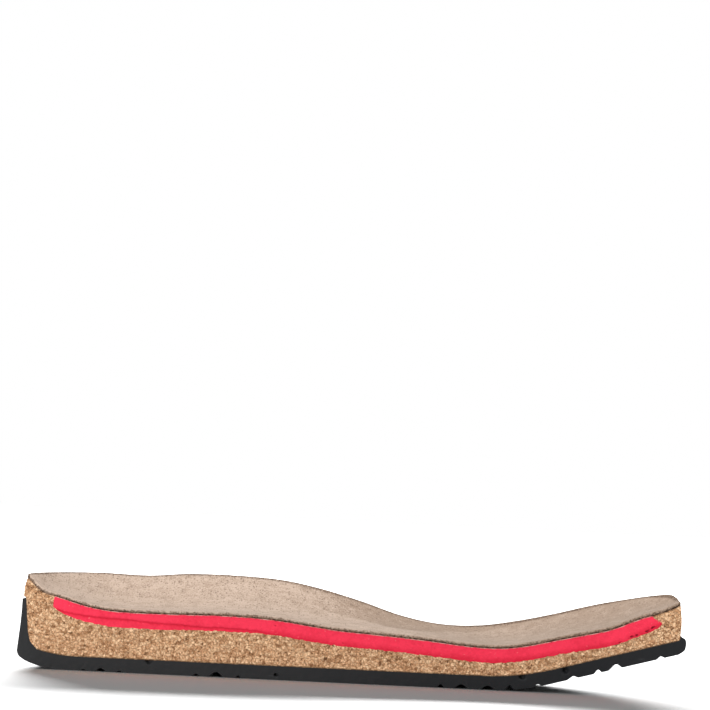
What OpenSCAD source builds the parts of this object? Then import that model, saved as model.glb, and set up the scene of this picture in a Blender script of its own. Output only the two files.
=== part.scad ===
// Cutaway of a cushioned, contoured cork footbed on a moulded outsole.
// The footbed is sliced lengthwise, and this is the inner (arch) half of a right foot.
// The section face looks along -Y, the toe points along +X, and the tread stands on Z = 0.

/* [Outsole] */
// Length from the back of the heel wall to the toe lip
sole_l = 269; // [240:1:300]
// Widest point, from the section face to the outer edge at the ball of the foot
sole_w = 50; // [44:1:56]
// Thickness under the foot
sole_t = 5.6; // [5:0.1:7]
// Height of the wall that wraps the back of the heel
wall_h = 28.4; // [24:0.5:30]
// Height of the lip that the rest of the edge carries above the footbed's underside
lip_h = 1.6; // [1:0.1:2]
// Lift of the straight toe ramp, in degrees
spring_angle = 15.6; // [12:0.2:18]
// Depth of the wide tread grooves
tread_d = 2; // [1.2:0.1:2.4]

/* [Layers] */
// Thickness of the suede liner
liner_t = 1; // [0.8:0.1:1.4]
// Thickness of the woven jute scrim under the liner
upper_scrim_t = 0.5; // [0.4:0.1:0.8]
// Thickness of the woven jute scrim on the outsole
lower_scrim_t = 0.4; // [0.3:0.1:0.6]
// Thickness of the bond film on top of the foam
film_t = 0.2; // [0.1:0.05:0.3]
// Thickness of the cushion foam under the heel
foam_t = 6.3; // [4:0.1:7]
// Thickness of the cushion foam at its rim
foam_edge_t = 4.5; // [3:0.1:4.8]

/* [Contour] */
// Height of the rim at the back of the heel
heel_rim_h = 38.4; // [35:0.2:40]
// Height of the heel seat
heel_seat_h = 25.8; // [24:0.2:28]
// Highest point of the arch rim
arch_rim_h = 40; // [36:0.2:41]
// Height of the tread of the ball of the foot
ball_h = 18.3; // [17.5:0.1:20]
// Height of the rim at the tip of the toe
toe_rim_h = 39.3; // [37:0.2:41]
// Height of the transverse arch pad
pad_h = 1.7; // [0:0.1:2.5]

/* [Hidden] */

rows = 56;        // steps along the foot
in_cols = 6;      // steps across the foam
out_cols = 5;     // steps across the band of cork outside the foam

// The plan shape: half width against length, both as shares.
heel_end = 0.13;  // where the round heel ends
ball_row = 35;    // the row at which the foot is widest
ball_at = row_share(ball_row);
toe_power = 2.6;  // squareness of the toe
toe_root = 2.2;
waist = [[heel_end, 0.70], [0.26, 0.684], [0.385, 0.672], [0.48, 0.73], [0.59, 0.905], [ball_at, 1]];

// Outlines as [x at the heel, x at the toe, half width]. All share the plan shape.
sole_mid = [0, sole_l, sole_w];
sole_lower = [0.9, sole_l - 0.6, sole_w - 0.8];
sole_ground = [3.2, sole_l - 2.8, sole_w - 3];
sole_upper = [0.9, sole_l - 0.5, sole_w - 0.5];
sole_brim = [1.2, sole_l - 1.8, sole_w - 1.5];
cork_under = [8, sole_l - 3.6, sole_w - 4];
cork_low = [5.2, sole_l - 2.8, sole_w - 3];
cork_mid = [4.2, sole_l - 2.5, sole_w - 2.7];
cork_high = [3.8, sole_l - 2.5, sole_w - 2.6];
cork_seat = [2.8, sole_l - 2.5, sole_w - 2.5];
cork_flush = [1.8, sole_l - 2.3, sole_w - 2.2];
rim = [3, sole_l - 2.9, sole_w - 2.4];
foam_top = [14.2, sole_l - 14.4, sole_w - 11.5];
foam_floor = [13.9, sole_l - 9.9, sole_w - 13];

// The outsole's side view.
spring_at = 0.699 * sole_l;  // where the toe spring starts
spring_r = 104;              // radius of its bend
spring_run = spring_r * sin(spring_angle);
bevel_l = 18;                // length of the bevel under the heel
bevel_h = 3.2;               // its height at the back
wall_end = 78;               // where the heel wall has run down to the lip

// The footbed's heights along the section face, and along the outer rim.
section_line = [
    [3, heel_rim_h], [9.7, heel_rim_h - 6], [16, heel_seat_h + 4.8], [26, heel_seat_h + 2],
    [33, heel_seat_h + 0.7], [42, heel_seat_h], [60, heel_seat_h], [84, heel_seat_h + 0.4],
    [102, heel_seat_h - 0.3], [117, heel_seat_h - 2], [130, ball_h + 4], [146, ball_h + 3.1],
    [166, ball_h + 1.7], [180, ball_h + 0.4], [192, ball_h], [202, ball_h + 1], [222, ball_h + 5.7],
    [238, ball_h + 9.6], [250, toe_rim_h - 6.4], [259, toe_rim_h - 3.4], [263, toe_rim_h - 1.6],
    [266.1, toe_rim_h]
];
rim_line = [
    [3, heel_rim_h], [14, heel_rim_h], [31, heel_rim_h + 0.1], [50, heel_rim_h - 0.1],
    [66, arch_rim_h - 0.3], [85, arch_rim_h], [105, arch_rim_h - 1], [121, arch_rim_h - 3.9],
    [138, ball_h + 13.2], [154, ball_h + 8], [170, ball_h + 4.9], [186, ball_h + 4.8],
    [202, ball_h + 7.4], [218, toe_rim_h - 9.7], [234, toe_rim_h - 5], [250, toe_rim_h - 0.9],
    [259, toe_rim_h + 1.3], [263.5, toe_rim_h + 2.1], [265.3, toe_rim_h + 1.2], [266.1, toe_rim_h]
];
// How late the footbed turns up to its rim: 2 is a round bowl, and more is a flat bed with a short wall.
bowl_line = [
    [3, 2], [40, 2.3], [90, 2.4], [125, 3], [150, 4],
    [178, 5], [200, 4.5], [225, 3.4], [250, 2.8], [266.1, 3.4]
];

pad_x = 150;      // centre of the transverse arch pad
pad_y = 12;
pad_reach = [26, 11];

// Tread grooves, each straight across the foot, as [x, width, depth as a share of tread_d].
grooves = [
    [27, 1.6, 0.4], [34, 3.6, 0.85], [41.5, 1.6, 0.4],
    [72.4, 1.8, 0.6], [80.5, 5, 0.95], [89.4, 1.2, 0.5],
    [171, 2, 0.7], [179.3, 5, 0.95], [190, 5.2, 1], [198.7, 2.4, 0.8],
    [210, 2, 0.45], [224, 3.2, 0.5],
    [234, 1.8, 0.7], [241, 4, 0.95], [259, 2, 0.45]
];
// Where the outsole's upper face has glue channels, and their radius.
channels = [53.2, 203.5, 221];
channel_r = 1;

along = sole_l / 269;  // the profiles above are laid out on a length of 269

function slope_at(k, i) =
    let(a = max(i - 1, 0), b = min(i + 1, len(k) - 1))
    (k[b].y - k[a].y) / (k[b].x - k[a].x);

function span_of(k, x, i = 0) = i >= len(k) - 2 || x < k[i + 1].x ? i : span_of(k, x, i + 1);

// A smooth curve through knots, each span a cubic whose end slopes follow the neighbouring knots.
function curve(k, at) =
    let(
        x = min(max(at, k[0].x), k[len(k) - 1].x),
        i = span_of(k, x),
        h = k[i + 1].x - k[i].x,
        t = (x - k[i].x) / h
    )
    k[i].y * (1 + 2 * t) * (1 - t) * (1 - t) + k[i + 1].y * t * t * (3 - 2 * t)
    + h * slope_at(k, i) * t * (1 - t) * (1 - t) - h * slope_at(k, i + 1) * t * t * (1 - t);

function clamp01(v) = min(max(v, 0), 1);
function smooth(v) = let(t = clamp01(v)) t * t * (3 - 2 * t);

// Half width as a share of the widest, f of the way from heel to toe.
function half_width(f) =
    f < heel_end ? waist[0].y * sqrt(max(0, 1 - pow((heel_end - f) / heel_end, 2)))
    : f < ball_at ? curve(waist, f)
    : pow(max(0, 1 - pow((f - ball_at) / (1 - ball_at), toe_power)), 1 / toe_root);

function row_share(i) = (1 - cos(180 * i / rows)) / 2;
function edge(o, i) = let(f = row_share(i)) [o[0] + (o[1] - o[0]) * f, o[2] * half_width(f)];
function width_at(o, x) = o[2] * half_width(clamp01((x - o[0]) / (o[1] - o[0])));

function pad(x, y) =
    pad_h * exp(-pow((x / along - pad_x) / pad_reach[0], 2) - pow((y - pad_y) / pad_reach[1], 2));

// The footbed's upper face.
function bed(x, y) =
    let(
        u = x / along,
        share = clamp01(y / max(width_at(rim, x), 0.01)),
        low = curve(section_line, u),
        high = curve(rim_line, u)
    )
    low + (high - low) * pow(share, curve(bowl_line, u)) + (pad(x, y) - pad(x, 0)) * (1 - pow(share, 4));

// Vertical thickness of a unit layer, where the bed slopes.
function slant(x, y) =
    let(
        e = 0.4,
        gx = (bed(x + e, y) - bed(x - e, y)) / (2 * e),
        gy = (bed(x, y + e) - bed(x, max(y - e, 0))) / (e + min(y, e))
    )
    min(1.6, sqrt(1 + gx * gx + gy * gy));

function under(x, y, depth) = bed(x, y) - depth * slant(x, y);

// The plane that the outsole stands on, with its heel bevel and toe spring.
function ground(x) =
    x < bevel_l ? bevel_h * pow((bevel_l - x) / (bevel_l - sole_ground[0]), 2)
    : x < spring_at ? 0
    : x < spring_at + spring_run ? spring_r - sqrt(spring_r * spring_r - pow(x - spring_at, 2))
    : spring_r * (1 - cos(spring_angle)) + (x - spring_at - spring_run) * tan(spring_angle);

// The outsole's upper face.
function deck(x) = sole_t + ground(max(x, bevel_l)) + 2.2 * pow(clamp01((24 - x) / 16), 2);

// The top of the heel wall and of the lip.
function brim(x) =
    let(lip = deck(x) + lip_h)
    lip + (wall_h - lip) * (1 - smooth((x - 12) / (wall_end - 12)));

// Points of a face that spans from the section face to an outline, at n + 1 columns.
function span_points(o, i, n) = let(e = edge(o, i)) [for (j = [0:n]) [e.x, e.y * j / n]];

// The plan points of a row of the footbed: across the foam, and then across the cork outside it.
function bed_row(i) =
    let(a = edge(foam_top, i), b = edge(rim, i))
    concat(span_points(foam_top, i, in_cols), [for (j = [1:out_cols]) a + (b - a) * j / out_cols]);

function ring(o, i, z) = let(e = edge(o, i)) [e.x, e.y, z];

// Closes a solid between an upper and a lower grid of points, each a list of rows.
// The first pinch columns of the end rows meet in one point.
module between(upper, lower, pinch) {
    n = len(upper[0]);
    m = len(upper) - 1;
    function id(g, i, j) = (g * (m + 1) + i) * n + (i == 0 || i == m ? max(j, pinch) : j);
    function quad(a, b, c, d) = [[a, b, c], [a, c, d]];
    // one square of the upper or lower grid, and one of a side along the rows or across the ends
    function square(g, i, j) = [id(g, i, j), id(g, i, j + 1), id(g, i + 1, j + 1), id(g, i + 1, j)];
    function flank(i, j) = [id(0, i, j), id(0, i + 1, j), id(1, i + 1, j), id(1, i, j)];
    function end(i, j) = [id(0, i, j), id(1, i, j), id(1, i, j + 1), id(0, i, j + 1)];
    function outwards(q) = quad(q[0], q[1], q[2], q[3]);
    function turned(q) = quad(q[3], q[2], q[1], q[0]);
    faces = [
        for (i = [0:m - 1], j = [0:n - 2], t = outwards(square(0, i, j))) t,
        for (i = [0:m - 1], j = [0:n - 2], t = turned(square(1, i, j))) t,
        for (i = [0:m - 1], t = outwards(flank(i, 0))) t,
        for (i = [0:m - 1], t = turned(flank(i, n - 1))) t,
        for (j = [0:n - 2], t = outwards(end(0, j))) t,
        for (j = [0:n - 2], t = turned(end(m, j))) t
    ];
    polyhedron(
        [for (g = [upper, lower], r = g, p = r) p],
        [for (f = faces) if (f[0] != f[1] && f[1] != f[2] && f[0] != f[2]) f]
    );
}

// A bonded layer of the footbed, from one depth under its upper face to another.
module bed_layer(from, to) {
    between(
        [for (i = [0:rows]) [for (p = bed_row(i)) [p.x, p.y, under(p.x, p.y, from)]]],
        [for (i = [0:rows]) [for (p = bed_row(i)) [p.x, p.y, under(p.x, p.y, to)]]],
        in_cols
    );
}

recess_depth = liner_t + upper_scrim_t;
// How thick the foam is along its length, before it thins at its edge.
foam_line = [
    [14, foam_t],
    [130, foam_t - 0.3],
    [205, foam_t - 0.5],
    [225, foam_t - 0.3],
    [243, foam_t + 0.5],
    [259, foam_t + 0.7]
];

// The floor of the recess that holds the foam: it rises towards its edge.
function recess_floor(i) = [
    for (j = [0:in_cols])
        let(
            p = span_points(foam_floor, i, in_cols)[j],
            near_edge = max(pow(j / in_cols, 6), pow(abs(cos(180 * i / rows)), 40)),
            t = curve(foam_line, p.x / along)
        )
        [p.x, p.y, under(p.x, p.y, recess_depth) - t + (t - foam_edge_t) * near_edge]
];

function recess_mouth(i) = [
    for (p = span_points(foam_top, i, in_cols)) [p.x, p.y, under(p.x, p.y, recess_depth)]
];

// The upper face of the foam, which the bond film covers.
function foam_crown(i) =
    let(mouth = recess_mouth(i), floor = recess_floor(i))
    [for (j = [0:in_cols]) mouth[j] + (floor[j] - mouth[j]) * film_t / (mouth[j].z - floor[j].z)];

module suede_liner() {
    color("#cbb9a6") bed_layer(0, liner_t);
}

module upper_scrim() {
    color("#5c4936") bed_layer(liner_t, recess_depth);
}

module bond_film() {
    color("#f0c8c4")
    between([for (i = [0:rows]) recess_mouth(i)], [for (i = [0:rows]) foam_crown(i)], in_cols);
}

module foam_insert() {
    color("#f5304f")
    between([for (i = [0:rows]) foam_crown(i)], [for (i = [0:rows]) recess_floor(i)], in_cols);
}

// Height of a ring of the cork's side, a share of the way up the outsole's wall.
function wall_ring(o, i, share) =
    let(e = edge(o, i), low = deck(e.x))
    [e.x, e.y, low + (brim(e.x) - low) * share];

// The cork's side, from under the footbed up to just above the outsole's wall.
function cork_side(i) = [
    ring(cork_under, i, deck(edge(cork_under, i).x)),
    wall_ring(cork_low, i, 0.14),
    wall_ring(cork_mid, i, 0.3),
    wall_ring(cork_high, i, 0.44),
    wall_ring(cork_seat, i, 1)
];

module cork_core() {
    color("#cfa273")
    between(
        [for (i = [0:rows]) concat(
            recess_floor(i),
            [
                for (j = [in_cols:in_cols + out_cols])
                    let(p = bed_row(i)[j])
                    [p.x, p.y, under(p.x, p.y, recess_depth)]
            ]
        )],
        [for (i = [0:rows]) concat(
            [for (p = span_points(cork_under, i, in_cols)) [p.x, p.y, deck(p.x) + lower_scrim_t]],
            cork_side(i),
            [wall_ring(cork_flush, i, 1) + [0, 0, 0.4]]
        )],
        in_cols
    );
}

module lower_scrim() {
    spans = [for (i = [0:rows]) span_points(cork_under, i, 1)];
    color("#6b5238")
    between(
        [for (span = spans) [for (p = span) [p.x, p.y, deck(p.x) + lower_scrim_t]]],
        [for (span = spans) [for (p = span) [p.x, p.y, deck(p.x)]]],
        1
    );
}

// Height of a ring of the outsole's outer side, a share of the way from the ground to the brim.
function outer_ring(o, i, heel_share, share) =
    let(e = edge(o, i), low = ground(e.x), s = heel_share + (share - heel_share) * smooth(e.x / 60))
    [e.x, e.y, low + (brim(e.x) - low) * s];

module outsole_blank() {
    between(
        [for (i = [0:rows]) concat(
            [[edge(cork_under, i).x, 0, deck(edge(cork_under, i).x)]],
            cork_side(i),
            [outer_ring(sole_brim, i, 0.98, 0.98)]
        )],
        [for (i = [0:rows]) let(g = edge(sole_ground, i)) [
            [g.x, 0, ground(g.x)],
            [g.x, g.y, ground(g.x)],
            outer_ring(sole_lower, i, 0.02, 0.14),
            outer_ring(sole_mid, i, 0.075, 0.38),
            outer_ring(sole_mid, i, 0.15, 0.62),
            outer_ring(sole_upper, i, 0.6, 0.8),
            outer_ring(sole_brim, i, 0.9, 0.93)
        ]],
        1
    );
}

// A V groove across the tread, square to the ground.
module tread_groove(g) {
    x = g[0] * along;
    lift = ground(x);
    pitch = atan(ground(x + 0.5) - ground(x - 0.5));
    w = g[1];
    d = g[2] * tread_d;
    translate([x, 0, lift])
    rotate([0, -pitch, 0])
    rotate([90, 0, 0])
    linear_extrude(height = 2 * sole_w + 30, center = true)
    polygon([[-w / 2 - 0.5, -1], [w / 2 + 0.5, -1], [w / 2, 0], [w / 6, d], [-w / 6, d], [-w / 2, 0]]);
}

module glue_channel(x) {
    translate([x * along, -1, deck(x * along)])
    rotate([-90, 0, 0])
    cylinder(r = channel_r, h = width_at(cork_under, x * along) - 5, $fn = 24);
}

module outsole() {
    color("#2b2b2c")
    difference() {
        outsole_blank();
        for (g = grooves) tread_groove(g);
        for (x = channels) glue_channel(x);
    }
}

module place() {
    translate([-sole_l / 2, -sole_w / 2, 0]) children();
}

place() suede_liner();
place() upper_scrim();
place() bond_film();
place() foam_insert();
place() cork_core();
place() lower_scrim();
place() outsole();
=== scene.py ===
import bpy
import bmesh
import math
import numpy as np
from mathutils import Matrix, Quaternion, Vector


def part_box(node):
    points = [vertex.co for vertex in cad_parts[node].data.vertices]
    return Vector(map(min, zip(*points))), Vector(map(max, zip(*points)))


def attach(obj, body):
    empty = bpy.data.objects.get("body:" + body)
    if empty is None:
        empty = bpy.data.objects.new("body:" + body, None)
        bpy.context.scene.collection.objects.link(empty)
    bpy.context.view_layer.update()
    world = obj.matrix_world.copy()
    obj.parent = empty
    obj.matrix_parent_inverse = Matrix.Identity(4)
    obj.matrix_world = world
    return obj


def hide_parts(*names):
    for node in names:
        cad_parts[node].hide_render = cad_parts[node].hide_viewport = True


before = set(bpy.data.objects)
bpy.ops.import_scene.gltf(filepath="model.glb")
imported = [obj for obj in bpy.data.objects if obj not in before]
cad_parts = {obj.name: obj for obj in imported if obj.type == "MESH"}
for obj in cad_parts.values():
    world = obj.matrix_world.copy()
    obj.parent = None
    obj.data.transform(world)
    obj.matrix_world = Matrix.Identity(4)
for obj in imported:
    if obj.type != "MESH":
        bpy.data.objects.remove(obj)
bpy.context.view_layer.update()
print("frame loaded")

mm = 0.001

# shapes are worked out in millimetres: x runs from the back of the heel, y from the section face,
# and z from the ground
soleLow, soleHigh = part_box("outsole")
soleL = round((soleHigh.x - soleLow.x) / mm, 2)
soleW = round((soleHigh.y - soleLow.y) / mm, 2)

layers = {
    "liner": 1.0,
    "upperScrim": 0.5,
    "film": 0.2,
    "foam": 6.3,
    "foamEdge": 4.5,
    "lowerScrim": 0.4,
    "outsole": 5.6,
}

# width against length, both as shares: a round heel, a waist through knots, and a squared-off toe
plan = {
    "heelEnd": 0.13,
    "ballAt": 0.6913,
    "toePower": 2.6,
    "toeRoot": 2.2,
    "waist": [(0.13, 0.70), (0.26, 0.684), (0.385, 0.672), (0.48, 0.73), (0.59, 0.905), (0.6913, 1.0)],
}

# outlines as x at the heel, x at the toe and greatest width
outline = {
    "mid": (0, soleL, soleW),
    "lower": (0.9, soleL - 0.6, soleW - 0.8),
    "ground": (3.2, soleL - 2.8, soleW - 3),
    "upper": (0.9, soleL - 0.5, soleW - 0.5),
    "brim": (1.2, soleL - 1.8, soleW - 1.5),
    "corkUnder": (8, soleL - 3.6, soleW - 4),
    "corkLow": (5.2, soleL - 2.8, soleW - 3),
    "corkMid": (4.2, soleL - 2.5, soleW - 2.7),
    "corkHigh": (3.8, soleL - 2.5, soleW - 2.6),
    "corkSeat": (2.8, soleL - 2.5, soleW - 2.5),
    "corkFlush": (1.8, soleL - 2.3, soleW - 2.2),
    "rim": (3, soleL - 2.9, soleW - 2.4),
    "foamTop": (14.2, soleL - 14.4, soleW - 11.5),
    "foamFloor": (13.9, soleL - 9.9, soleW - 13),
}

side = {
    "springAt": 0.699 * soleL,
    "springR": 104.0,
    "springAngle": math.radians(15.6),
    "bevelL": 18.0,
    "bevelH": 3.2,
    "wallStart": 12,
    "wallH": 28.4,
    "wallEnd": 78.0,
    "lipH": 1.6,
    "curlH": 2.2,           # how far the upper face curls up at the back of the heel
    "curlEnd": 24,
    "curlL": 16,
}

heelRim, heelSeat, archRim, ball, toeRim = 38.4, 25.8, 40.0, 18.3, 39.3
bedShape = {
    # heights along the section face
    "section": [
        (3, heelRim), (9.7, heelRim - 6), (16, heelSeat + 4.8), (26, heelSeat + 2),
        (33, heelSeat + 0.7), (42, heelSeat), (60, heelSeat), (84, heelSeat + 0.4),
        (102, heelSeat - 0.3), (117, heelSeat - 2), (130, ball + 4), (146, ball + 3.1),
        (166, ball + 1.7), (180, ball + 0.4), (192, ball), (202, ball + 1),
        (222, ball + 5.7), (238, ball + 9.6), (250, toeRim - 6.4), (259, toeRim - 3.4),
        (263, toeRim - 1.6), (266.1, toeRim),
    ],
    # heights along the far rim
    "rim": [
        (3, heelRim), (14, heelRim), (31, heelRim + 0.1), (50, heelRim - 0.1),
        (66, archRim - 0.3), (85, archRim), (105, archRim - 1), (121, archRim - 3.9),
        (138, ball + 13.2), (154, ball + 8), (170, ball + 4.9), (186, ball + 4.8),
        (202, ball + 7.4), (218, toeRim - 9.7), (234, toeRim - 5), (250, toeRim - 0.9),
        (259, toeRim + 1.3), (263.5, toeRim + 2.1), (265.3, toeRim + 1.2), (266.1, toeRim),
    ],
    # 2 is a round bowl, and more is a flat bed with a short wall
    "bowl": [
        (3, 2), (40, 2.3), (90, 2.4), (125, 3), (150, 4),
        (178, 5), (200, 4.5), (225, 3.4), (250, 2.8), (266.1, 3.4),
    ],
    # the share of the width at which the flat bed turns up into the wall, where the wall's painted shade
    # begins
    "turn": [
        (3, 0.5), (90, 0.56), (114, 0.57), (128, 0.64), (142, 0.61),
        (158, 0.5), (172, 0.72), (182, 0.8), (205, 0.9), (266.1, 0.9),
    ],
    "padAt": (150.0, 12.0),
    "padReach": (26.0, 11.0),
    "padH": 1.7,
}


def smooth(v):
    # 3 v squared less 2 v cubed, held between 0 and 1
    t = np.clip(v, 0, 1)
    return t * t * (3 - 2 * t)


def rise(v, start, end):
    # 0 up to the start, 1 from the end on, and smooth between them
    return smooth((v - start) / (end - start))


def curve(knots, at):
    # a smooth curve through knots: each span is a cubic whose end slopes follow the neighbouring knots
    k = np.array(knots, float)
    kx, kv = k[:, 0], k[:, 1]
    before = np.maximum(np.arange(len(k)) - 1, 0)
    after = np.minimum(np.arange(len(k)) + 1, len(k) - 1)
    slope = (kv[after] - kv[before]) / (kx[after] - kx[before])
    x = np.clip(at, kx[0], kx[-1])
    i = np.clip(np.searchsorted(kx, x, side="right") - 1, 0, len(k) - 2)
    h = kx[i + 1] - kx[i]
    t = (x - kx[i]) / h
    ends = kv[i] * (1 + 2 * t) * (1 - t) ** 2 + kv[i + 1] * t * t * (3 - 2 * t)
    return ends + h * slope[i] * t * (1 - t) ** 2 - h * slope[i + 1] * t * t * (1 - t)


def halfWidth(f):
    # a quarter ellipse to the end of the heel, the waist's curve to the ball, and a superellipse to the toe
    heelEnd, ballAt = plan["heelEnd"], plan["ballAt"]
    heel = plan["waist"][0][1] * np.sqrt(np.maximum(0, 1 - ((heelEnd - f) / heelEnd) ** 2))
    past = np.clip((f - ballAt) / (1 - ballAt), 0, 1)
    toe = np.maximum(0, 1 - past ** plan["toePower"]) ** (1 / plan["toeRoot"])
    return np.where(f < heelEnd, heel, np.where(f < ballAt, curve(plan["waist"], f), toe))


def edge(name, f):
    # the outline's point at a share f of the way from heel to toe
    heelX, toeX, wide = outline[name]
    return heelX + (toeX - heelX) * f, wide * halfWidth(f)


def widthAt(name, x):
    heelX, toeX, wide = outline[name]
    return wide * halfWidth(np.clip((x - heelX) / (toeX - heelX), 0, 1))


def pad(x, y):
    padX, padY = bedShape["padAt"]
    reachX, reachY = bedShape["padReach"]
    return bedShape["padH"] * np.exp(-(((x - padX) / reachX) ** 2) - ((y - padY) / reachY) ** 2)


def bed(x, y):
    # the section line, rising to the rim line by a power of the share of the way across, and the arch pad
    share = np.clip(y / np.maximum(widthAt("rim", x), 0.01), 0, 1)
    low, high = curve(bedShape["section"], x), curve(bedShape["rim"], x)
    dish = (high - low) * share ** curve(bedShape["bowl"], x)
    return low + dish + (pad(x, y) - pad(x, 0)) * (1 - share**4)


def slant(x, y):
    # how much thicker a layer is upright than square to the bed: the root of 1 plus the squared slopes
    step, most = 0.4, 1.6
    gx = (bed(x + step, y) - bed(x - step, y)) / (2 * step)
    gy = (bed(x, y + step) - bed(x, np.maximum(y - step, 0))) / (step + np.minimum(y, step))
    return np.minimum(most, np.sqrt(1 + gx**2 + gy**2))


def under(x, y, depth):
    return bed(x, y) - depth * slant(x, y)


def ground(x):
    # a parabola up the heel bevel, flat under the foot, an arc at the toe spring and then a straight ramp
    start, r, turn = side["springAt"], side["springR"], side["springAngle"]
    run = r * math.sin(turn)
    bevelL = side["bevelL"]
    bevel = side["bevelH"] * (np.clip(bevelL - x, 0, None) / (bevelL - outline["ground"][0])) ** 2
    arc = r - np.sqrt(r * r - np.clip(x - start, 0, run) ** 2)
    return bevel + arc + np.clip(x - start - run, 0, None) * math.tan(turn)


def deck(x):
    # the outsole's upper face, which curls up at the back of the heel
    curl = side["curlH"] * np.clip((side["curlEnd"] - x) / side["curlL"], 0, 1) ** 2
    return layers["outsole"] + ground(np.maximum(x, side["bevelL"])) + curl


def brim(x):
    # the heel wall's top, falling smoothly to the lip
    lip = deck(x) + side["lipH"]
    return lip + (side["wallH"] - lip) * (1 - rise(x, side["wallStart"], side["wallEnd"]))


def scatter(cell, salt):
    # a repeatable number from 0 to 1 for each lattice cell: the fraction of a large sine of its place
    v = np.sin(cell @ np.array([127.1, 311.7, 74.7]) + salt * 19.19) * 43758.5453
    return v - np.floor(v)


def lumps(p, size, salt=0):
    # smooth value noise from -1 to 1: the lattice's random values, blended by the smooth step each way
    q = p / size
    base = np.floor(q)
    t = smooth(q - base)
    total = np.zeros(q.shape[:-1])
    for corner in np.ndindex(2, 2, 2):
        c = np.array(corner)
        weight = np.prod(np.where(c == 1, t, 1 - t), axis=-1)
        total += weight * scatter(base + c, salt)
    return total * 2 - 1


def granules(p, size, salt=0):
    # cell noise: the distances to the nearest and second nearest of one jittered point in each cell,
    # and the nearest one's number
    q = p / size
    base = np.floor(q)
    near = np.full(q.shape[:-1], 9.0)
    second = near.copy()
    number = np.zeros_like(near)
    for step in np.ndindex(3, 3, 3):
        cell = base + np.array(step) - 1
        seed = cell + np.stack([scatter(cell, salt + k) for k in (1, 2, 3)], -1)
        d = np.linalg.norm(q - seed, axis=-1)
        closer = d < near
        second = np.where(closer, near, np.minimum(second, d))
        number = np.where(closer, scatter(cell, salt + 4), number)
        near = np.minimum(near, d)
    return near, second, number


def toFrame(p):
    # from the sole's own millimetres to the frame's metres
    return (p - np.array([soleL / 2, soleW / 2, 0])) * mm


def runOf(x, y):
    # the distance run along a line of points, at each of them
    return np.concatenate([[0], np.cumsum(np.hypot(np.diff(x), np.diff(y)))])


def stations(rows, name="rim", extra=()):
    # shares of the length, spaced evenly along the outline's edge
    f = (1 - np.cos(np.linspace(0, math.pi, 4001))) / 2
    run = runOf(*edge(name, f))
    even = np.interp(np.linspace(0, run[-1], rows + 1), run, f)
    return np.unique(np.concatenate([even, np.asarray(extra, float)]))


def spread(stack, count):
    # the same polyline of columns, cut again into count columns at even steps between its own points
    at = np.linspace(0, stack.shape[1] - 1, count)
    i = np.minimum(at.astype(int), stack.shape[1] - 2)
    t = (at - i)[None, :, None]
    return stack[:, i] * (1 - t) + stack[:, i + 1] * t


def rounded(stack, count):
    # a Catmull-Rom curve through each row's columns
    at = np.linspace(0, stack.shape[1] - 1, count)
    i = np.minimum(at.astype(int), stack.shape[1] - 2)
    t = (at - i)[None, :, None]
    a, b = stack[:, np.maximum(i - 1, 0)], stack[:, i]
    c, d = stack[:, i + 1], stack[:, np.minimum(i + 2, stack.shape[1] - 1)]
    return b + 0.5 * t * (c - a + t * (2 * a - 5 * b + 4 * c - d + t * (3 * (b - c) + d - a)))


def across(name, f, z, columns):
    # points from the section face straight out to the outline, at each station
    x, y = edge(name, f)
    xs = np.broadcast_to(x[:, None], (len(f), len(columns)))
    ys = y[:, None] * np.asarray(columns)[None]
    return np.stack([xs, ys, z(xs, ys)], -1)


def ring(name, f, z):
    x, y = edge(name, f)
    return np.stack([x, y, z(x)], -1)[:, None]


def fill(upper, lower, levels):
    # every point between two grids: each level lies a share of the way down the straight lines that join them
    share = np.linspace(0, 1, levels + 1)[None, None, :, None]
    return upper[:, :, None] * (1 - share) + lower[:, :, None] * share


def skin(solid):
    # the outside of a block of points: the points on its six sides, and the squares between them
    outside = np.ones(solid.shape[:3], bool)
    outside[1:-1, 1:-1, 1:-1] = False
    number = np.cumsum(outside).reshape(outside.shape) - 1
    sides = [number[:, :, 0], number[:, :, -1], number[:, 0], number[:, -1], number[0], number[-1]]
    squares = [np.stack([s[:-1, :-1], s[:-1, 1:], s[1:, 1:], s[1:, :-1]], -1).reshape(-1, 4) for s in sides]
    return outside, np.concatenate(squares)


def makePiece(name, points, faces, fields, material, sharp=50):
    mesh = bpy.data.meshes.new(name)
    mesh.from_pydata(toFrame(points), [], faces)
    for field, values in fields.items():
        mesh.attributes.new(field, "FLOAT", "POINT").data.foreach_set("value", np.asarray(values, np.float32))
    bm = bmesh.new()
    bm.from_mesh(mesh)
    bmesh.ops.remove_doubles(bm, verts=bm.verts, dist=1e-7)
    bmesh.ops.recalc_face_normals(bm, faces=bm.faces)
    bm.to_mesh(mesh)
    bm.free()
    mesh.polygons.foreach_set("use_smooth", np.ones(len(mesh.polygons), bool))
    mesh.set_sharp_from_angle(angle=math.radians(sharp))
    mesh.materials.append(material)
    piece = bpy.data.objects.new(name, mesh)
    bpy.context.collection.objects.link(piece)
    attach(piece, "root")
    print(name, len(mesh.polygons), "faces")
    return piece


class Wire:
    # a socket that arithmetic works on: each operator adds its Math node
    def __init__(self, paint, socket):
        self.paint = paint
        self.socket = socket

    def math(self, operation, a, b=0.0, clamp=False):
        settings = {"operation": operation, "use_clamp": clamp}
        return self.paint.add("ShaderNodeMath", settings, {0: a, 1: b})

    def __add__(self, other):
        return self.math("ADD", self, other)

    def __sub__(self, other):
        return self.math("SUBTRACT", self, other)

    def __mul__(self, other):
        return self.math("MULTIPLY", self, other)

    def __gt__(self, other):
        return self.math("GREATER_THAN", self, other)

    def __rsub__(self, other):
        return self.math("SUBTRACT", other, self)

    __radd__ = __add__

    def held(self):
        return self.math("ADD", self, 0.0, clamp=True)


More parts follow.
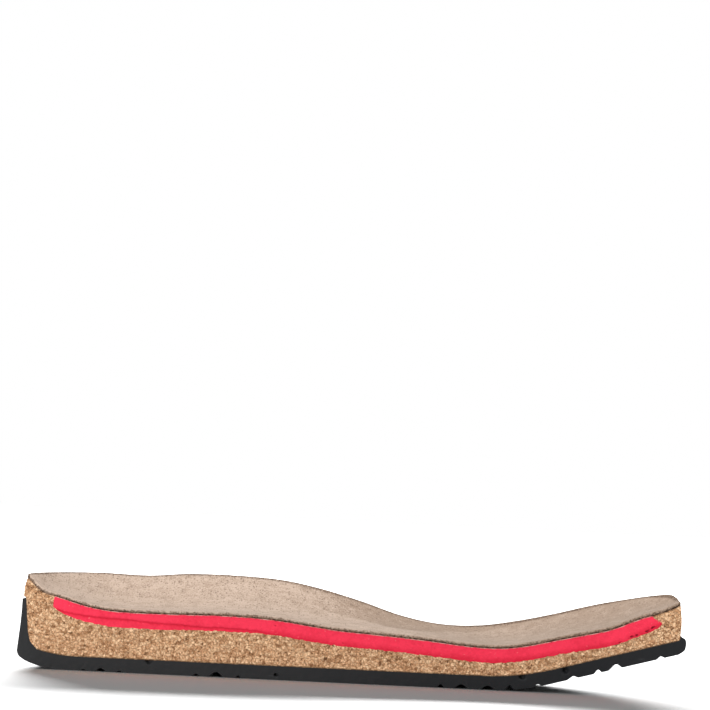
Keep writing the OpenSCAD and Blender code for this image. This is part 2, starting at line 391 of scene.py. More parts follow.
class Paint:
    # one material, and the nodes that are added to it
    def __init__(self, name, **constants):
        self.material = bpy.data.materials.new(name)
        self.material.use_nodes = True
        self.tree = self.material.node_tree
        self.shader = self.tree.nodes["Principled BSDF"]
        self.place = self.add("ShaderNodeTexCoord", {}, {}, "Object")
        for socket, value in constants.items():
            self.shader.inputs[socket.replace("_", " ")].default_value = value

    def add(self, kind, settings, sockets, output=0):
        # adds a node: its settings come first, and then the values or links of its sockets
        node = self.tree.nodes.new(kind)
        for name, value in settings.items():
            if name == "stops":
                ramp = node.color_ramp
                while len(ramp.elements) < len(value):
                    ramp.elements.new(1.0)
                for stop, (at, colour) in zip(ramp.elements, value):
                    stop.position = at
                    stop.color = (*colour, 1.0)
            else:
                setattr(node, name, value)
        for name, value in sockets.items():
            if isinstance(value, Wire):
                self.tree.links.new(value.socket, node.inputs[name])
            else:
                node.inputs[name].default_value = value
        return Wire(self, node.outputs[output])

    def stretched(self, sx, sy, sz):
        return self.add("ShaderNodeMapping", {}, {"Vector": self.place, "Scale": (sx, sy, sz)})

    def noise(self, scale, detail=3.0, rough=0.5, place=None):
        sockets = {"Vector": place or self.place, "Scale": scale, "Detail": detail, "Roughness": rough}
        return self.add("ShaderNodeTexNoise", {}, sockets)

    def cells(self, scale, feature="F1", place=None, output="Distance"):
        sockets = {"Vector": place or self.place, "Scale": scale}
        return self.add("ShaderNodeTexVoronoi", {"feature": feature}, sockets, output)

    def warped(self, scale, amount):
        # the object's coordinates, pushed about by a colour noise
        push = self.add("ShaderNodeTexNoise", {}, {"Vector": self.place, "Scale": scale}, "Color")
        centred = self.add("ShaderNodeVectorMath", {"operation": "SUBTRACT"}, {0: push, 1: (0.5, 0.5, 0.5)})
        sized = self.add("ShaderNodeVectorMath", {"operation": "SCALE"}, {0: centred, "Scale": amount})
        return self.add("ShaderNodeVectorMath", {"operation": "ADD"}, {0: self.place, 1: sized})

    def ramp(self, value, stops):
        return self.add("ShaderNodeValToRGB", {"stops": stops}, {"Fac": value})

    def blend(self, share, a, b):
        # sockets 6 and 7 are the Mix node's two colours, and its output 2 is their mix
        colours = {n: c if isinstance(c, Wire) else (*c, 1.0) for n, c in ((6, a), (7, b))}
        return self.add("ShaderNodeMix", {"data_type": "RGBA"}, {0: share, **colours}, 2)

    def channel(self, colour, number):
        return self.add("ShaderNodeSeparateColor", {}, {0: colour}, number)

    def field(self, name):
        return self.add("ShaderNodeAttribute", {"attribute_name": name}, {}, "Fac")

    def finish(self, colour, roughness, height, depth):
        self.tree.links.new(colour.socket, self.shader.inputs["Base Color"])
        if isinstance(roughness, Wire):
            self.tree.links.new(roughness.socket, self.shader.inputs["Roughness"])
        else:
            self.shader.inputs["Roughness"].default_value = roughness
        bump = self.add("ShaderNodeBump", {}, {"Height": height, "Distance": depth, "Strength": 1.0})
        self.tree.links.new(bump.socket, self.shader.inputs["Normal"])
        return self.material


def suedeFinish():
    look = {
        "pale": (0.56, 0.428, 0.340),
        "deep": (0.36, 0.258, 0.190),
        "speck": (0.11, 0.066, 0.040),
        "mottle": 210,
        "streak": 520,
        "fibre": 1700,
        "speckSize": 1100,
    }
    p = Paint("suede", Sheen_Weight=0.08, Sheen_Roughness=0.6, Specular_IOR_Level=0.12)
    mottle = p.noise(look["mottle"], 4.0, 0.6)
    streak = p.noise(look["streak"], 3.0, 0.6, p.stretched(0.3, 1.0, 1.0))
    fibre = p.noise(look["fibre"], 2.0, 0.8)
    wall, ahead = p.field("wall"), p.field("ahead")
    uneven = (mottle - 0.5) * 1.5 + (streak - 0.5) * 1.1 + (fibre - 0.5) * (2.6 + wall)
    # the nap's uneven tone, then painted shade: darker on the wall, darker still on the wall in the waist,
    # darker towards the toe, and painted light at the heel
    napAndShade = (uneven + 0.74 - wall * 0.1 - ahead * 0.66 - wall * p.field("waist") * 0.5).held()
    colour = p.blend(napAndShade, look["deep"], look["pale"])
    chance = p.channel(p.cells(look["speckSize"], "F1", None, "Color"), 0)
    spot = 1 - (p.cells(look["speckSize"]) * 1.9).held()
    # specks grow denser up the wall, which adds to the wall's painted shade
    speck = (chance > (0.82 - wall * 0.14)) * spot
    colour = p.blend(speck * 0.85, colour, look["speck"])
    burr = p.noise(1500, 3.0, 0.7)
    cutDark = (burr + p.field("cutDepth") * 0.3) > 0.66
    colour = p.blend(cutDark * 0.7, colour, look["speck"])
    colour = p.blend(p.field("rimEdge") * ((burr - 0.36) * 5).held(), colour, look["speck"])
    return p.finish(colour, 0.93, fibre * 0.8 + streak * 0.3 - speck * 0.5, 0.00016)


def juteFinish(name, dark, light):
    p = Paint(name, Specular_IOR_Level=0.2)
    twist = p.noise(2400, 3.0, 0.7)
    tone = p.noise(700, 2.0)
    share = ((twist * 1.3 + tone * 0.7 - 1.0) * 6 + p.field("pale") * 0.8).held()
    return p.finish(p.blend(share, dark, light), 0.9, twist, 0.0001)


def filmFinish():
    look = {"clear": (0.74, 0.07, 0.10), "milky": (0.72, 0.42, 0.36)}
    p = Paint("film", Specular_IOR_Level=0.35)
    patch = ((p.noise(420, 3.0) - 0.4) * 5).held()
    return p.finish(p.blend(patch, look["clear"], look["milky"]), 0.6, p.noise(1500), 0.00004)


def foamFinish():
    look = {
        "bright": (0.86, 0.031, 0.077),
        "deep": (0.62, 0.010, 0.036),
        "pitShade": (0.20, 0.004, 0.016),
        "fleck": (0.90, 0.25, 0.25),
    }
    p = Paint("cushionFoam", Specular_IOR_Level=0.22)
    cloud = (p.noise(140, 3.0) - 0.42) * 1.2
    # painted shade from the crease, its lip and the lower part of the cut, over a random cloud of tone
    shade = (cloud + (p.noise(900, 2.0) - 0.5) * 0.9 + p.field("lowBand") * 1.05).held()
    colour = p.blend(shade, look["bright"], look["deep"])
    # painted shade in the torn pits
    colour = p.blend(p.field("nick"), colour, look["pitShade"])
    pore = p.cells(2300)
    # painted shade in the open pores
    openPore = (0.3 - pore).held() * (p.noise(800, 2.0) > 0.54)
    colour = p.blend(openPore * 2.4, colour, look["pitShade"])
    colour = p.blend((p.noise(1100, 1.0) > 0.76) * 0.4, colour, look["fleck"])
    height = pore * 0.3 + p.noise(1600) * 0.5 - openPore
    return p.finish(colour, 0.64 + p.noise(700) * 0.16, height, 0.00007)


def corkFinish():
    look = {
        "dark": (0.13, 0.060, 0.026),
        "brown": (0.45, 0.226, 0.105),
        "tan": (0.69, 0.385, 0.203),
        "pale": (0.98, 0.66, 0.40),
        "binderAndShade": (0.20, 0.092, 0.040),
        "flake": 880,
        "crumb": 1350,
    }
    p = Paint("cork", Specular_IOR_Level=0.2)
    bent = p.warped(650, 0.0014)
    flake = p.channel(p.cells(look["flake"], "F1", bent, "Color"), 0)
    gap = p.cells(look["flake"], "DISTANCE_TO_EDGE", bent)
    crumbs = p.warped(900, 0.0009)
    crumb = p.channel(p.cells(look["crumb"], "F1", crumbs, "Color"), 1)
    fine = p.noise(2600, 3.0, 0.7)
    tone = (flake * 0.46 + crumb * 0.5 + (fine - 0.5) * 0.7).held()
    stops = {0.05: "dark", 0.2: "brown", 0.43: "tan", 0.78: "pale"}
    colour = p.ramp(tone, [(at, look[shade]) for at, shade in stops.items()])
    joint = (1 - gap * 9).held()
    colour = p.blend(joint * 0.6, colour, look["binderAndShade"])
    # the binder's dark in the relief's gaps, with painted shade in those gaps and in the holes of lost
    # granules
    colour = p.blend(p.field("crevice") * 0.4, colour, look["binderAndShade"])
    return p.finish(colour, 0.82, flake * 0.4 + crumb * 0.5 - joint * 0.6 + fine * 0.4, 0.00026)


def soleFinish():
    look = {
        "skin": (0.0095, 0.0100, 0.0115),
        "paleAndLit": (0.017, 0.0172, 0.018),
        "scratch": (0.10, 0.10, 0.105),
    }
    p = Paint("soleRubber", Specular_IOR_Level=0.22)
    cloud = p.noise(60, 3.0)
    grain = p.noise(3200, 2.0, 0.6)
    # random cloud tone, with painted light at the heel and painted shade towards the toe
    colour = p.blend((cloud + 0.3 - p.field("ahead") * 0.8).held(), look["skin"], look["paleAndLit"])
    scratch = ((p.noise(420, 2.0, 0.5, p.stretched(0.2, 1.0, 1.8)) - 0.7) * 9).held()
    colour = p.blend(scratch * 0.3, colour, look["scratch"])
    return p.finish(colour, 0.5 + cloud * 0.16, grain, 0.00003)


paints = {
    "suede": suedeFinish(),
    "jute": juteFinish("jute", (0.034, 0.019, 0.011), (0.30, 0.190, 0.125)),
    "naturalJute": juteFinish("naturalJute", (0.13, 0.07, 0.035), (0.46, 0.29, 0.16)),
    "film": filmFinish(),
    "foam": foamFinish(),
    "cork": corkFinish(),
    "sole": soleFinish(),
}
print("finishes made")


linerShape = {
    "rows": 520,
    "columns": 70,
    "levels": 4,
    "relief": 0.07,
    "edgeRound": 0.45,
    "edgeReach": 0.8,
    "fray": 0.16,
    # how far in from the rim the dark edge reaches
    "darkReach": [(3, 0.8), (140, 0.8), (190, 1.8), (230, 1.8), (248, 1.1), (266.1, 0.8)],
}


def makeLiner():
    # the bed's own surface, with slow lumps in it, eased down at the rim
    f = stations(linerShape["rows"])
    columns = 1 - (1 - np.linspace(0, 1, linerShape["columns"] + 1)) ** 1.25
    upper = across("rim", f, bed, columns)
    lower = across("rim", f, lambda x, y: under(x, y, layers["liner"]), columns)
    flat = upper * np.array([1, 1, 0])
    slow = lumps(flat, 7.0) * 0.6 + lumps(flat, 2.2, 5) * 0.4
    upper[..., 2] += linerShape["relief"] * slow * smooth((1 - columns)[None] * 12)
    fromEdge = (1 - columns)[None] * edge("rim", f)[1][:, None] * outward(f, "rim")[:, 1:2]
    upper[..., 2] -= linerShape["edgeRound"] * (1 - smooth(fromEdge / linerShape["edgeReach"]))
    solid = fill(upper, lower, linerShape["levels"])
    cut = (solid[..., 1] < 1e-6) * 1.0
    solid[..., 1] += cut * np.abs(lumps(solid, 0.5, 9)) * linerShape["fray"]
    x = solid[..., 0]
    within = fromEdge[..., None] - curve(linerShape["darkReach"], x)
    forward = 0.65 * rise(x, 130, 190) + 0.35 * rise(x, 190, 240)
    marks = {
        "cutDepth": cut * np.linspace(0.05, 1, linerShape["levels"] + 1)[None, None],
        "rimEdge": 1 - smooth(within / linerShape["edgeReach"]),
        # where the wall's painted shade lies: past the turn line, and more of it in the waist
        "wall": smooth((columns[None, :, None] - curve(bedShape["turn"], x)) / 0.09),
        "waist": rise(x, 116, 146) * (1 - rise(x, 185, 225)),
        # painted shade towards the toe, and painted light at the heel
        "ahead": forward - 0.25 * (1 - rise(x, 12, 42)),
    }
    outside, faces = skin(solid)
    fields = {name: values[outside] for name, values in marks.items()}
    piece = makePiece("suedeLiner", solid[outside], faces, fields, paints["suede"])
    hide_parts("suede_liner")
    return piece


threadShape = {
    "pitch": 0.95,
    "warp": (0.34, 0.31),   # half width and half height of a cut thread
    "weft": 0.13,
    "wave": 0.14,           # how far the woven thread swings up and down
    "proud": 0.18,
    "hairs": 3.2,           # loose fibres to the millimetre
    "hairL": 1.0,
    "hairR": 0.12,
}


def threadEnds(line, salt):
    # warp threads cut off at the section: each is a short oval stub with a domed end
    run = runOf(line[:, 0], line[:, 1])
    count = int(run[-1] / threadShape["pitch"])
    order = np.arange(count)
    at = (order + 0.5) * threadShape["pitch"]
    x, z = np.interp(at, run, line[:, 0]), np.interp(at, run, line[:, 1])
    chance = [scatter(np.stack([order, order * 0 + k, order * 0], -1), salt) for k in range(3)]
    wide = threadShape["warp"][0] * (0.7 + 0.5 * chance[0])
    tall = threadShape["warp"][1] * (0.75 + 0.5 * chance[1])
    proud = threadShape["proud"] * (0.2 + chance[2])
    lift = 0.05 * np.where(order % 2 == 0, 1, -1)
    sides = 8
    turn = np.arange(sides) * 2 * math.pi / sides
    # rings along the thread, from inside the cloth to its domed end
    depth = np.array([1.2, 0.0, -0.6, -0.95])
    size = np.array([1.0, 1.0, 0.82, 0.35])
    rings = len(size)
    px = x[:, None, None] + (wide[:, None] * size[None])[..., None] * np.cos(turn)
    pz = (z + lift)[:, None, None] + (tall[:, None] * size[None])[..., None] * np.sin(turn)
    py = np.broadcast_to((depth[None] * proud[:, None])[:, :, None], px.shape)
    points = np.stack([px, py, pz], -1).reshape(-1, 3)
    base = np.arange(count)[:, None, None] * rings * sides
    r, s = np.arange(rings - 1)[None, :, None] * sides, np.arange(sides)[None, None]
    a, b = base + r + s, base + r + (s + 1) % sides
    quads = np.stack([a, b, b + sides, a + sides], -1).reshape(-1, 4)
    caps = [(base[:, 0] + k * sides + np.arange(sides)[None]) for k in (0, rings - 1)]
    return points, [*quads.tolist(), *caps[0].tolist(), *caps[1].tolist()]


def threadHairs(line, salt):
    # loose fibres that stand up from the cut: each is a three-sided spike, leaning by a random angle
    run = runOf(line[:, 0], line[:, 1])
    count = int(run[-1] * threadShape["hairs"])
    order = np.arange(count)
    chance = [scatter(np.stack([order, order * 0 + k, order * 0], -1), salt) for k in range(6)]
    at = (order + chance[0]) / threadShape["hairs"]
    x, z = np.interp(at, run, line[:, 0]), np.interp(at, run, line[:, 1])
    foot = np.stack([x, -0.03 - 0.08 * chance[1], z + 0.3 * (chance[2] - 0.5)], -1)
    lean = (chance[3] - 0.5) * 2.2 + np.where(chance[4] < 0.3, math.pi, 0)
    reach = threadShape["hairL"] * (0.35 + 0.65 * chance[5])
    along = np.stack([np.sin(lean), 0 * lean, np.cos(lean)], -1)
    aside = np.stack([np.cos(lean), 0 * lean, -np.sin(lean)], -1) * threadShape["hairR"]
    forward = np.array([[0, -threadShape["hairR"], 0]])
    tip = foot + along * reach[:, None]
    points = np.stack([foot - aside, foot + aside, foot + forward, tip], 1).reshape(-1, 3)
    corners = np.array([[0, 1, 3], [1, 2, 3], [2, 0, 3], [0, 2, 1]])
    return points, (order[:, None, None] * 4 + corners[None]).reshape(-1, 3).tolist()


def weftThread(line):
    # one thread woven along the cut: a tube whose height is a cosine of its run, over one warp thread
    # and under the next
    run = runOf(line[:, 0], line[:, 1])
    at = np.arange(0, run[-1], threadShape["pitch"] / 6)
    x = np.interp(at, run, line[:, 0])
    z = np.interp(at, run, line[:, 1]) + threadShape["wave"] * np.cos(at * math.pi / threadShape["pitch"])
    sides = 6
    turn = np.arange(sides) * 2 * math.pi / sides
    r = threadShape["weft"]
    px = np.broadcast_to(x[:, None], (len(at), sides))
    py = 0.02 + r * np.cos(turn)[None] + 0 * px
    pz = z[:, None] + r * np.sin(turn)[None]
    points = np.stack([px, py, pz], -1).reshape(-1, 3)
    i, s = np.arange(len(at) - 1)[:, None] * sides, np.arange(sides)[None]
    a, b = i + s, i + (s + 1) % sides
    quads = np.stack([a, b, b + sides, a + sides], -1).reshape(-1, 4)
    last = (len(at) - 1) * sides
    return points, [*quads.tolist(), list(range(sides)), list(range(last, last + sides))]


def joined(parts):
    points, faces, start = [], [], 0
    for p, f in parts:
        points.append(p)
        faces += [[v + start for v in face] for face in f]
        start += len(p)
    return np.concatenate(points), faces


def makeUpperScrim():
    f = stations(420)
    columns = np.linspace(0, 1, 25)
    upper = across("rim", f, lambda x, y: under(x, y, layers["liner"]), columns)
    lower = across("rim", f, lambda x, y: under(x, y, layers["liner"] + layers["upperScrim"]), columns)
    solid = fill(upper, lower, 2)
    solid[..., 1] += (solid[..., 1] < 1e-6) * 0.1
    outside, faces = skin(solid)
    line = (upper[:, 0] + lower[:, 0])[:, [0, 2]] / 2
    parts = [(solid[outside], faces.tolist()), threadEnds(line, 3), weftThread(line), threadHairs(line, 7)]
    paler = np.repeat([0, 0.35, 0, 0], [len(part[0]) for part in parts])
    points, faces = joined(parts)
    pale = paler + 1 - rise(points[:, 0], 10, 26)
    piece = makePiece("upperScrim", points, faces, {"pale": pale}, paints["jute"])
    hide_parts("upper_scrim")
    return piece


def makeLowerScrim():
    f = stations(420, "corkUnder")
    columns = np.linspace(0, 1, 13)
    upper = across("corkUnder", f, lambda x, y: deck(x) + layers["lowerScrim"], columns)
    lower = across("corkUnder", f, lambda x, y: deck(x), columns)
    solid = fill(upper, lower, 2)
    solid[..., 1] += (solid[..., 1] < 1e-6) * 0.08
    outside, faces = skin(solid)
    piece = makePiece("lowerScrim", solid[outside], faces, {}, paints["naturalJute"])
    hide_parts("lower_scrim")
    return piece


foamShape = {
    "rows": 900,
    "inner": 5,            # columns across the recess
    "levels": 18,
    "bulge": 0.22,
    "thick": [(14, 6.3), (130, 6.0), (205, 5.8), (225, 6.0), (243, 6.8), (259, 7.0)],
    "pores": 0.05,
    # where the crease runs, as x and the share of the way down the cut
    "crease": [
        (14, 0.97), (24, 0.68), (35, 0.5), (43, 0.46), (53, 0.57),
        (64, 0.66), (72, 0.78), (90, 0.82), (106, 1),
    ],
    "creaseD": 0.3,
    "nickD": 0.6,
    "ragged": 0.2,         # how uneven the foam's cut line is
    # torn pits along the foot of the cut: x, share of the way down, reach along and across
    "nicks": [
        (256.6, 0.82, 0.4, 0.3), (255.2, 0.82, 0.8, 0.5), (253.4, 0.88, 1.1, 0.6), (249, 0.88, 0.8, 0.4),
        (246.8, 0.91, 1.3, 0.6), (242.3, 0.93, 1.2, 0.3), (239, 0.8, 0.3, 0.2),
        (150, 0.86, 0.35, 0.25), (131, 0.8, 0.4, 0.16), (167, 0.75, 0.4, 0.14), (103.5, 0.35, 0.3, 0.2),
    ],
}
recessDepth = layers["liner"] + layers["upperScrim"]


def recessMouth(f, columns):
    return across("foamTop", f, lambda x, y: under(x, y, recessDepth), columns)


def recessFloor(f, columns):
    # the foam thins towards its edge, by a sixth power, and its cut line is a little ragged
    p = across("foamFloor", f, lambda x, y: under(x, y, recessDepth), columns)
    ends = np.abs(1 - 2 * f) ** 40
    nearEdge = np.maximum(np.asarray(columns)[None] ** 6, ends[:, None])
    t = curve(foamShape["thick"], p[..., 0])
    p[..., 2] -= t + (layers["foamEdge"] - t) * nearEdge
    flat = p * np.array([1, 1, 0])
    uneven = lumps(flat, 1.3, 31) + 0.6 * lumps(flat, 0.6, 32)
    p[..., 2] += foamShape["ragged"] * uneven * np.exp(-p[..., 1] / 1.5)
    return p


def outward(f, name="foamTop"):
    # the outline's own direction away from the foot: its tangent turned a quarter, in plan
    x, y = edge(name, f)
    tangent = np.stack([np.gradient(x), np.gradient(y)], -1)
    tangent /= np.linalg.norm(tangent, axis=-1, keepdims=True)
    normal = np.stack([-tangent[:, 1], tangent[:, 0], 0 * x], -1)
    normal[0] = (-1, 0, 0)
    normal[-1] = (1, 0, 0)
    return normal


def swelling(share):
    return foamShape["bulge"] * (1 - np.abs(2 * share - 1) ** 3)


def recessWall(f, share):
    # the recess's side, which swells outwards between its mouth and its floor
    mouth, floor = recessMouth(f, [1.0]), recessFloor(f, [1.0])
    return mouth * (1 - share) + floor * share + swelling(share) * outward(f)[:, None]


def foamCut(solid, share, cut):
    # what shows on the section face: fine pores, the crease with painted shade along it and on its lip below,
    # painted shade over the lower part towards the toe, and the torn pits with painted shade in them
    x = solid[..., 0]
    share = share[None, None]
    pores = foamShape["pores"] * (lumps(solid, 0.55, 1) + 0.6 * lumps(solid, 1.6, 2) + 1)
    below = (share - curve(foamShape["crease"], x)) * layers["foam"]
    fade = rise(x, 13.5, 16.5) * (1 - rise(x, 92, 114))
    line = np.exp(-((below / 0.3) ** 2)) * fade
    lip = smooth(below / 0.4) * np.exp(-np.clip(below, 0, None) / 1.3) * fade
    # painted shade over the lower half of the cut, towards the toe
    foot = 0.75 * rise(share, 0.5, 1) * rise(x, 70, 110)
    nick = np.zeros_like(x)
    rough = lumps(solid, 0.45, 3) + 0.7 * lumps(solid, 1.1, 4)
    for nx, down, reachX, reachZ in foamShape["nicks"]:
        away = ((x - nx) / reachX) ** 2 + ((share - down) * layers["foam"] / reachZ) ** 2
        nick = np.maximum(nick, smooth(1.0 - away + 0.8 * rough) * smooth(3 - away))
    relief = pores + foamShape["creaseD"] * (line + 0.5 * lip) + foamShape["nickD"] * nick
    return relief * cut, np.clip(line + 0.75 * lip + foot, 0, 1) * cut, 0.85 * nick * cut


def makeFoam():
    f = stations(foamShape["rows"], "foamTop")
    columns = np.linspace(0, 1, foamShape["inner"] + 1)
    mouth, floor = recessMouth(f, columns), recessFloor(f, columns)
    share = np.linspace(0, 1, foamShape["levels"] + 1)
    deep = mouth[..., 2] - floor[..., 2]
    crown = mouth + (floor - mouth) * (layers["film"] / deep)[..., None]
    solid = fill(crown, floor, foamShape["levels"])
    solid[:, -1] += swelling(share)[None, :, None] * outward(f)[:, None]
    solid[0] = solid[0, -1][None]
    solid[-1] = solid[-1, -1][None]
    relief, band, nick = foamCut(solid, share, solid[..., 1] < 1e-6)
    solid[..., 1] += relief
    outside, faces = skin(solid)
    fields = {"lowBand": band[outside], "nick": nick[outside]}
    piece = makePiece("foamInsert", solid[outside], faces, fields, paints["foam"])
    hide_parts("foam_insert")

    film = fill(mouth, crown, 2)
    ripple = 0.03 + 0.09 * np.clip(lumps(film, 1.7, 6), 0, 1)
    film[..., 1] -= (film[..., 1] < 1e-6) * ripple
    outside, faces = skin(film)
    piece = makePiece("bondFilm", film[outside], faces, {}, paints["film"])
    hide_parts("bond_film")


corkShape = {
    "rows": 700,
    "levels": 40,
    "band": 15,         # columns from the foam's edge to the rim
    "grain": 1.35,      # size of a granule
    "depth": 0.2,
    "bend": 0.45,       # how far the granules' shapes are pushed about
    "lost": 0.045,      # share of the granules that have dropped out
    "lostD": 0.35,
    "barrel": 0.5,      # how far the side swells
}


def corkSide(f):
    def up(share):
        return lambda x: deck(x) + (brim(x) - deck(x)) * share

    places = [
        ("corkUnder", 0), ("corkLow", 0.14), ("corkMid", 0.3),
        ("corkHigh", 0.44), ("corkSeat", 1), ("corkFlush", 1),
    ]
    rings = [ring(name, f, up(share)) for name, share in places]
    rings[-1][..., 2] += 0.4
    return np.concatenate(rings, 1)


def corkRelief(p):
    # granules stand at their own heights with gaps between them, and a few have dropped out
    bent = p + corkShape["bend"] * np.stack([lumps(p, 1.1, k) for k in (11, 12, 13)], -1)
    near, second, number = granules(bent * np.array([0.8, 1, 1.15]), corkShape["grain"])
    gap = 1 - smooth((second - near) / 0.22)
    lost = number < corkShape["lost"]
    hole = corkShape["lostD"] * lost * smooth((second - near) / 0.4)
    depth = corkShape["depth"] * (0.35 * number + 0.65 * gap) + hole
    # the second value marks the gaps and the holes, which get the binder's colour and painted shade
    return depth, np.clip(gap * 0.7 + lost, 0, 1)


def makeCork():
    f = stations(corkShape["rows"])
    inner = np.linspace(0, 1, foamShape["inner"] + 1)
    band = np.linspace(0, 1, corkShape["band"] + 1)
    mouthX, mouthY = edge("foamTop", f)
    rimX, rimY = edge("rim", f)
    xs = mouthX[:, None] + (rimX - mouthX)[:, None] * band[None]
    ys = mouthY[:, None] + (rimY - mouthY)[:, None] * band[None]
    top = np.stack([xs, ys, under(xs, ys, recessDepth)], -1)
    wall = [recessWall(f, share) for share in (0.8, 0.5, 0.2)]
    upper = np.concatenate([recessFloor(f, inner), *wall, top], 1)
    base = across("corkUnder", f, lambda x, y: deck(x) + layers["lowerScrim"], inner)
    lower = np.concatenate([base, spread(corkSide(f), upper.shape[1] - len(inner))], 1)
    solid = fill(upper, lower, corkShape["levels"])
    solid[0, : len(inner)] = solid[0, len(inner) - 1]
    solid[-1, : len(inner)] = solid[-1, len(inner) - 1]
    share = np.linspace(0, 1, corkShape["levels"] + 1)
    barrel = corkShape["barrel"] * np.sin(math.pi * share) ** 0.8
    away = outward(f, "rim")
    shown = solid[:, -1] + barrel[None, :, None] * away[:, None]
    depth, gap = corkRelief(shown)
    fade = smooth(share * 30)
    solid[:, -1] = shown - (depth * fade[None])[..., None] * away[:, None]
    crevice = np.zeros(solid.shape[:3])
    crevice[:, -1] = gap
    cut = solid[..., 1] < 1e-6
    cutDepth, cutGap = corkRelief(solid[cut])
    solid[..., 1][cut] += cutDepth
    crevice[cut] = cutGap
    outside, faces = skin(solid)
    fields = {"crevice": crevice[outside]}
    piece = makePiece("corkCore", solid[outside], faces, fields, paints["cork"], 65)
    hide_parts("cork_core")


soleShape = {
    "rows": 430,
    "tread": 36,        # columns across the tread
    "edge": 18,         # columns up the side
    "levels": 12,
    "treadD": 2.0,
    # x, width, depth as a share of treadD
    "grooves": [
        (27, 1.6, 0.4), (34, 3.6, 0.85), (41.5, 1.6, 0.4), (72.4, 1.8, 0.6), (80.5, 5, 0.95),
        (89.4, 1.2, 0.5), (171, 2, 0.7), (179.3, 5, 0.95), (190, 5.2, 1), (198.7, 2.4, 0.8),
        (210, 2, 0.45), (224, 3.2, 0.5), (234, 1.8, 0.7), (241, 4, 0.95), (259, 2, 0.45),
    ],
    # small holes at the section: x, height above the ground, radius
    "pits": [(53.2, 5.2, 1.0), (104.5, 2.05, 0.5), (203.6, 6.0, 0.95), (221.0, 9.2, 0.95)],
    "pitD": 1.6,
    "scuff": 0.04,
    # fine ribs in the waist: from, to, pitch and depth
    "ribs": (100.0, 160.0, 3.2, 0.4),
    # a groove along the edge: share of the width, its reach and its depth
    "border": (0.9, 0.03, 0.6),
}


def makeOutsole():
    # stations are added round each groove, out to half as far again as its own side
    heelX, toeX, _ = outline["ground"]
    spans = [(at, (wide * 0.5 + 0.5) * np.linspace(-1.5, 1.5, 13)) for at, wide, _ in soleShape["grooves"]]
    dense = np.concatenate([at + span for at, span in spans])
    f = stations(soleShape["rows"], "mid", (dense - heelX) / (toeX - heelX))
    borderAt, borderReach, borderD = soleShape["border"]
    columns = np.linspace(0, 1, soleShape["tread"] - 5)
    columns = np.unique(np.concatenate([columns, borderAt + borderReach * np.array([-1, -0.5, 0, 0.5, 1])]))
    rowX = edge("ground", f)[0]
    notch = np.zeros_like(f)
    for at, wide, depth in soleShape["grooves"]:
        # each groove is a smooth-stepped V, so that the blocks between the grooves are rounded
        away = np.abs(rowX - at) / (wide * 0.55 + 0.7)
        notch = np.maximum(notch, depth * soleShape["treadD"] * smooth(1 - away) ** 0.85)
    notch = notch * (1 + 0.18 * lumps(np.stack([rowX, 0 * rowX, 0 * rowX], -1), 3.0, 8))
    tread = across("ground", f, lambda x, y: ground(x), columns)
    start, end, pitch, ribD = soleShape["ribs"]
    within = rise(rowX, start, start + 6) * (1 - rise(rowX, end - 6, end))
    rib = ribD * within * (0.5 - 0.5 * np.cos(2 * math.pi * rowX / pitch))
    inside = rise(tread[..., 1], 5, 8) * (1 - rise(columns[None], borderAt - 0.08, borderAt - 0.03))
    border = borderD * np.clip(1 - np.abs(columns - borderAt) / borderReach, 0, 1)
    border = border[None] * (rise(f, 0.02, 0.05) * (1 - rise(f, 0.95, 0.98)))[:, None]
    tread[..., 2] += np.maximum(np.maximum(notch[:, None], rib[:, None] * inside), border)

    def out(name, heelShare, share):
        # the side's ring: its share of the way up to the brim eases from one value at the heel to another
        def height(x):
            part = heelShare + (share - heelShare) * rise(x, 0, 60)
            return ground(x) + (brim(x) - ground(x)) * part
        return ring(name, f, height)

    rings = [
        ring("ground", f, ground),
        out("lower", 0.02, 0.14),
        out("mid", 0.075, 0.38),
        out("mid", 0.15, 0.62),
        out("upper", 0.6, 0.8),
        out("brim", 0.9, 0.93),
        out("brim", 0.98, 0.98),
    ]
    flank = rounded(np.concatenate(rings, 1), soleShape["edge"] + 1)
    fading = np.linspace(1, 0.9, flank.shape[1])
    bottom = ground(flank[..., 0]) + notch[:, None] * fading[None]
    flank[..., 2] = np.maximum(flank[..., 2], bottom)
    lower = np.concatenate([tread, flank[:, 1:]], 1)
    inner = np.linspace(0, 1, 14)
    roof = across("corkUnder", f, lambda x, y: deck(x), inner)
    top = np.concatenate([corkSide(f)[:, :-1], rings[-1]], 1)
    upper = np.concatenate([roof, spread(top, lower.shape[1] - len(inner))], 1)
    solid = fill(upper, lower, soleShape["levels"])
    cut = solid[..., 1] < 1e-6
    x, z = solid[..., 0], solid[..., 2]
    hole = np.zeros_like(x)
    for px, pz, r in soleShape["pits"]:
        hole = np.maximum(hole, soleShape["pitD"] * smooth(1.6 - np.hypot(x - px, z - pz) / r))
    scuff = soleShape["scuff"] * (1 + lumps(solid, 1.3, 21))
    ahead = rise(x, 110, 180)
    solid[..., 1] += cut * (hole + scuff)
    outside, faces = skin(solid)
    fields = {"ahead": ahead[outside]}
    piece = makePiece("treadSole", solid[outside], faces, fields, paints["sole"], 40)
    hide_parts("outsole")


makeOutsole()
makeCork()
makeFoam()
liner = makeLiner()
upperScrim = makeUpperScrim()
lowerScrim = makeLowerScrim()
print("layers laid")

studio = {
    "eye": (-0.0042, -1.425, 0.118),
    "aim": (-0.0042, -0.025, 0.1322),
    "lens": 176.2,
    "roll": 2.72,
    "floorSize": 3.4,
    "air": 0.26,
}


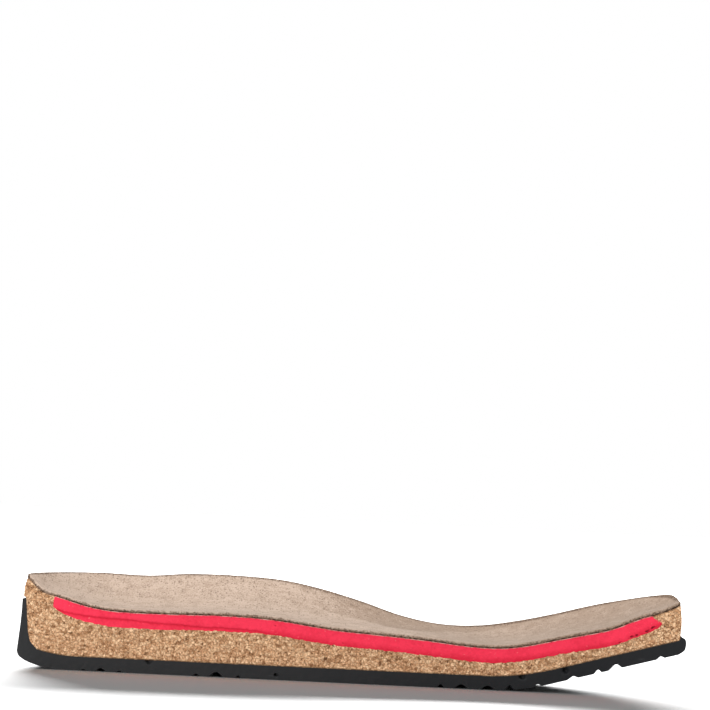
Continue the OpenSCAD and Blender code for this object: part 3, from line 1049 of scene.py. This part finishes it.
def makeFloor():
    half = studio["floorSize"] / 2
    corners = [(-half, -half, 0), (half, -half, 0), (half, half, 0), (-half, half, 0)]
    mesh = bpy.data.meshes.new("floor")
    mesh.from_pydata(corners, [], [(0, 1, 2, 3)])
    p = Paint("paleFloor", Specular_IOR_Level=0.1)
    tone = p.blend(p.noise(2.0), (0.93, 0.93, 0.93), (0.94, 0.94, 0.94))
    mesh.materials.append(p.finish(tone, 0.8, p.noise(40.0), 0.00001))
    floor = bpy.data.objects.new("floor", mesh)
    bpy.context.collection.objects.link(floor)
    return floor


def direction(place, aim):
    return (Vector(aim) - Vector(place)).to_track_quat("-Z", "Y")


def makeLight(name, place, aim, power, size):
    data = bpy.data.lights.new(name, "AREA")
    data.shape = "RECTANGLE"
    data.size, data.size_y = size
    data.energy = power
    light = bpy.data.objects.new(name, data)
    bpy.context.collection.objects.link(light)
    light.location = place
    light.rotation_euler = direction(place, aim).to_euler()
    return light


def lightOnly(light, piece, state):
    # links a light to the floor alone, or keeps it off the floor
    group = bpy.data.collections.new(light.name + "Reach")
    group.objects.link(piece)
    group.collection_objects[0].light_linking.link_state = state
    light.light_linking.receiver_collection = group


def makeCamera():
    data = bpy.data.cameras.new("camera")
    data.lens = studio["lens"]
    data.sensor_width = 36.0
    data.clip_end = 100.0
    camera = bpy.data.objects.new("camera", data)
    bpy.context.collection.objects.link(camera)
    camera.location = studio["eye"]
    turn = direction(studio["eye"], studio["aim"]) @ Quaternion((0, 0, 1), math.radians(studio["roll"]))
    camera.rotation_euler = turn.to_euler()
    bpy.context.scene.camera = camera


def makeWorld():
    world = bpy.data.worlds.new("studioAir")
    world.use_nodes = True
    nodes, links = world.node_tree.nodes, world.node_tree.links
    air = nodes["Background"]
    air.inputs["Color"].default_value = (0.97, 1, 1, 1)
    air.inputs["Strength"].default_value = studio["air"]
    seen = nodes.new("ShaderNodeBackground")
    seen.inputs["Color"].default_value = (1, 1, 1, 1)
    path = nodes.new("ShaderNodeLightPath")
    mix = nodes.new("ShaderNodeMixShader")
    links.new(path.outputs["Is Camera Ray"], mix.inputs[0])
    links.new(air.outputs[0], mix.inputs[1])
    links.new(seen.outputs[0], mix.inputs[2])
    links.new(mix.outputs[0], nodes["World Output"].inputs["Surface"])
    bpy.context.scene.world = world


floor = makeFloor()
centre = (0, 0, 0.02)
lightOnly(makeLight("keyLight", (-1.1, -1.35, 0.25), centre, 24, (0.9, 0.45)), floor, "EXCLUDE")
lightOnly(makeLight("topLight", (-0.1, -0.15, 1.5), centre, 13, (1.2, 1.0)), floor, "EXCLUDE")
lightOnly(makeLight("heelFill", (1.5, -0.8, 1.4), centre, 17, (1.2, 1.2)), floor, "EXCLUDE")
lightOnly(makeLight("backFill", (0.9, 1.5, 0.6), centre, 8, (1.2, 0.8)), floor, "EXCLUDE")
lightOnly(makeLight("floorLight", (-0.12, 2.2, 0.7), (0, 0, 0), 190, (2.2, 0.2)), floor, "INCLUDE")
makeWorld()
makeCamera()
bpy.context.scene.view_settings.view_transform = "Standard"
print("studio lit")
